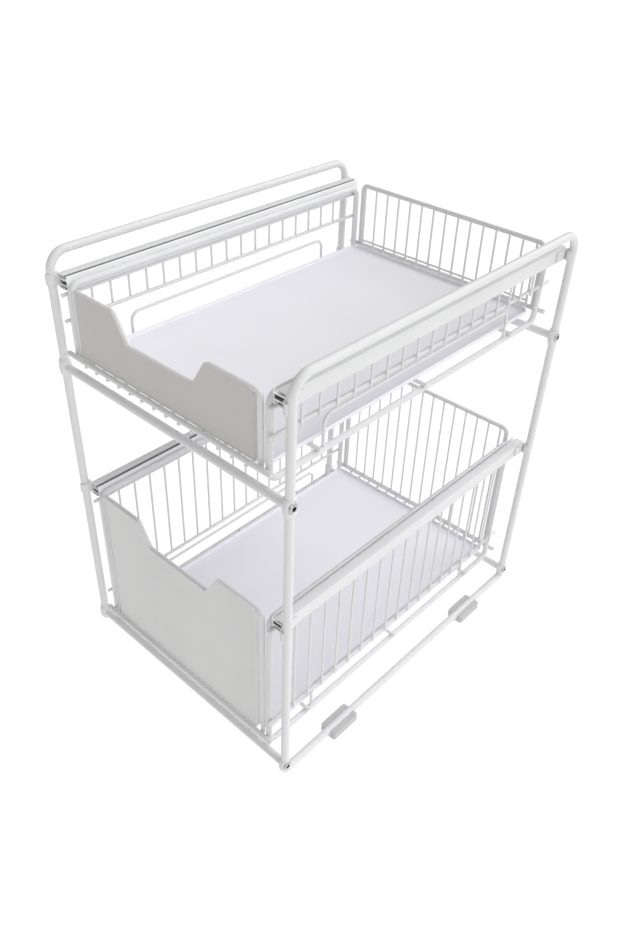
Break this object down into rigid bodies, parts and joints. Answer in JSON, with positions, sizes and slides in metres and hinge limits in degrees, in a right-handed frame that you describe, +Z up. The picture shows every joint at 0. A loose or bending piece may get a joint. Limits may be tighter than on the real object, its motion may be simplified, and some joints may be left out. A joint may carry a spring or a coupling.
{
  "type": "under sink organizer",
  "caption": "Freestanding white wire organizer for a sink cupboard, with stacked pull-out drawers that run on ball slides in a bent tube frame.",
  "frame": {"origin": "on the floor, under the middle of the frame", "axes": "+X to the right seen from the front, +Y to the rear, +Z up; the drawers pull out towards -Y"},
  "size_m": [0.314, 0.4042, 0.461],
  "materials": {
    "white_coat": "satin white powder coat",
    "panel_paint": "satin warm grey paint",
    "slide_steel": "zinc plated steel",
    "screw_steel": "bright zinc plated",
    "ball_steel": "polished bearing steel",
    "cage_steel": "thin stamped steel",
    "liner_plastic": "pale matt plastic",
    "pad_plastic": "matt grey plastic"
  },
  "bodies": {
    "frame": {"left_side_frame": "white_coat", "right_side_frame": "white_coat", "front_left_foot_pad": "pad_plastic", "front_right_foot_pad": "pad_plastic", "rear_left_foot_pad": "pad_plastic", "rear_right_foot_pad": "pad_plastic", "front_bottom_cross_bar": "white_coat", "front_middle_cross_bar": "white_coat", "rear_bottom_cross_bar": "white_coat", "rear_middle_cross_bar": "white_coat", "crossbar_screws": "screw_steel", "upper_left_outer_rail": "white_coat", "upper_left_rail_brackets": "white_coat", "upper_right_outer_rail": "white_coat", "upper_right_rail_brackets": "white_coat", "lower_left_outer_rail": "white_coat", "lower_left_rail_brackets": "white_coat", "lower_right_outer_rail": "white_coat", "lower_right_rail_brackets": "white_coat"},
    "upper_drawer": {"upper_left_inner_rail": "slide_steel", "upper_left_side_loop": "white_coat", "upper_left_side_grid": "white_coat", "upper_left_guard": "white_coat", "upper_right_inner_rail": "slide_steel", "upper_right_side_loop": "white_coat", "upper_right_side_grid": "white_coat", "upper_right_guard": "white_coat", "upper_front_panel": "panel_paint", "upper_front_frame": "white_coat", "upper_back_frame": "white_coat", "upper_back_grid": "white_coat", "upper_floor_grid": "white_coat", "upper_liner": "liner_plastic"},
    "upper_cages": {"upper_left_ball_cage": "cage_steel", "upper_left_slide_balls": "ball_steel", "upper_right_ball_cage": "cage_steel", "upper_right_slide_balls": "ball_steel"},
    "lower_drawer": {"lower_left_inner_rail": "slide_steel", "lower_left_side_loop": "white_coat", "lower_left_side_grid": "white_coat", "lower_left_guard": "white_coat", "lower_right_inner_rail": "slide_steel", "lower_right_side_loop": "white_coat", "lower_right_side_grid": "white_coat", "lower_right_guard": "white_coat", "lower_front_panel": "panel_paint", "lower_front_frame": "white_coat", "lower_back_frame": "white_coat", "lower_back_grid": "white_coat", "lower_floor_grid": "white_coat", "lower_liner": "liner_plastic"},
    "lower_cages": {"lower_left_ball_cage": "cage_steel", "lower_left_slide_balls": "ball_steel", "lower_right_ball_cage": "cage_steel", "lower_right_slide_balls": "ball_steel"}
  },
  "joints": [
    {"name": "upper_drawer_slide", "type": "slide", "parent": "frame", "child": "upper_drawer", "axis": [0, -1, 0], "range_m": [0, 0.27]},
    {"name": "upper_cage_slide", "type": "slide", "parent": "frame", "child": "upper_cages", "axis": [0, -1, 0], "range_m": [0, 0.135]},
    {"name": "lower_drawer_slide", "type": "slide", "parent": "frame", "child": "lower_drawer", "axis": [0, -1, 0], "range_m": [0, 0.27]},
    {"name": "lower_cage_slide", "type": "slide", "parent": "frame", "child": "lower_cages", "axis": [0, -1, 0], "range_m": [0, 0.135]}
  ],
  "couplings": [
    {"joint": "upper_cage_slide", "follows": "upper_drawer_slide", "ratio": 0.5},
    {"joint": "lower_cage_slide", "follows": "lower_drawer_slide", "ratio": 0.5}
  ]
}
